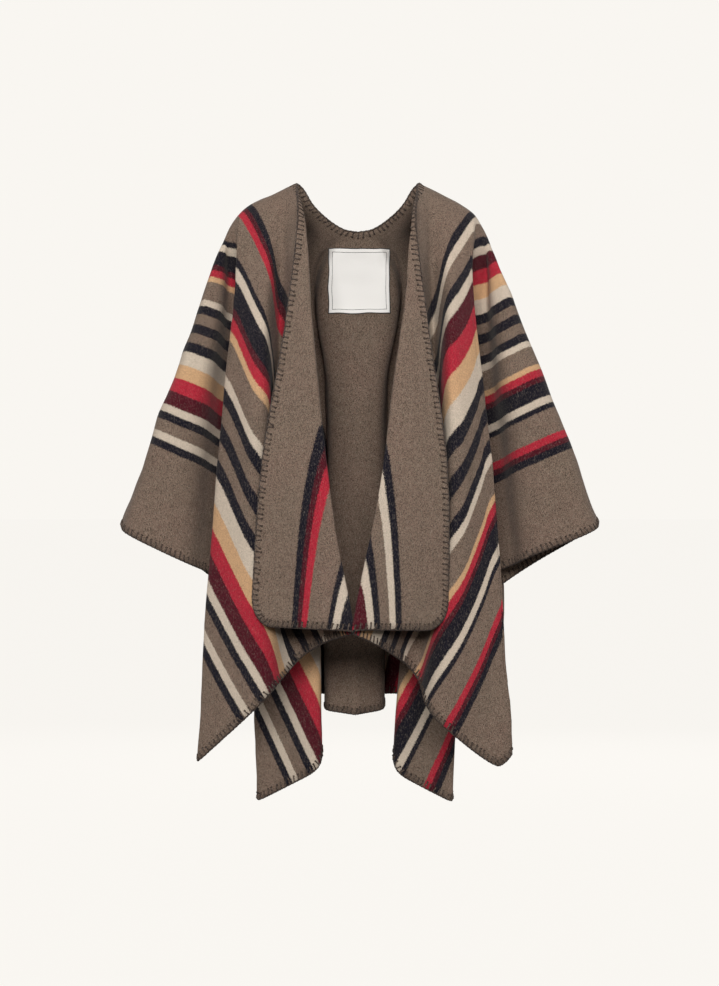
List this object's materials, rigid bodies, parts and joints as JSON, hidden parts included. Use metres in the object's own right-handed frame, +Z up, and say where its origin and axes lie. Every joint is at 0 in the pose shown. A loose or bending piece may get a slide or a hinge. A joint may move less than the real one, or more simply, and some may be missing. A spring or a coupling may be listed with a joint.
{
  "type": "open-front blanket poncho",
  "caption": "Open-front blanket poncho of thick fulled wool, worn over both shoulders, with turned-out front edges and draped arm sections.",
  "frame": {"origin": "midway between the two neck points, on the line where the shoulders hold the garment", "axes": "+Z up, -Y towards the wearer's front, +X to the right as seen from the front; left and right in node names are also as seen from the front"},
  "size_m": [0.836, 0.4292, 1.0874],
  "materials": {
    "wool_cloth": "matte, felted nap",
    "woven_label": "fine weave"
  },
  "bodies": {
    "root": {"back_centre": "wool_cloth", "front_left": "wool_cloth", "front_right": "wool_cloth", "front_fold_left": "wool_cloth", "front_fold_right": "wool_cloth", "sleeve_front_left": "wool_cloth", "sleeve_front_right": "wool_cloth", "back_side_left": "wool_cloth", "back_side_right": "wool_cloth", "back_fold_left": "wool_cloth", "back_fold_right": "wool_cloth", "sleeve_back_left": "wool_cloth", "sleeve_back_right": "wool_cloth", "neck_label": "woven_label"}
  },
  "joints": []
}
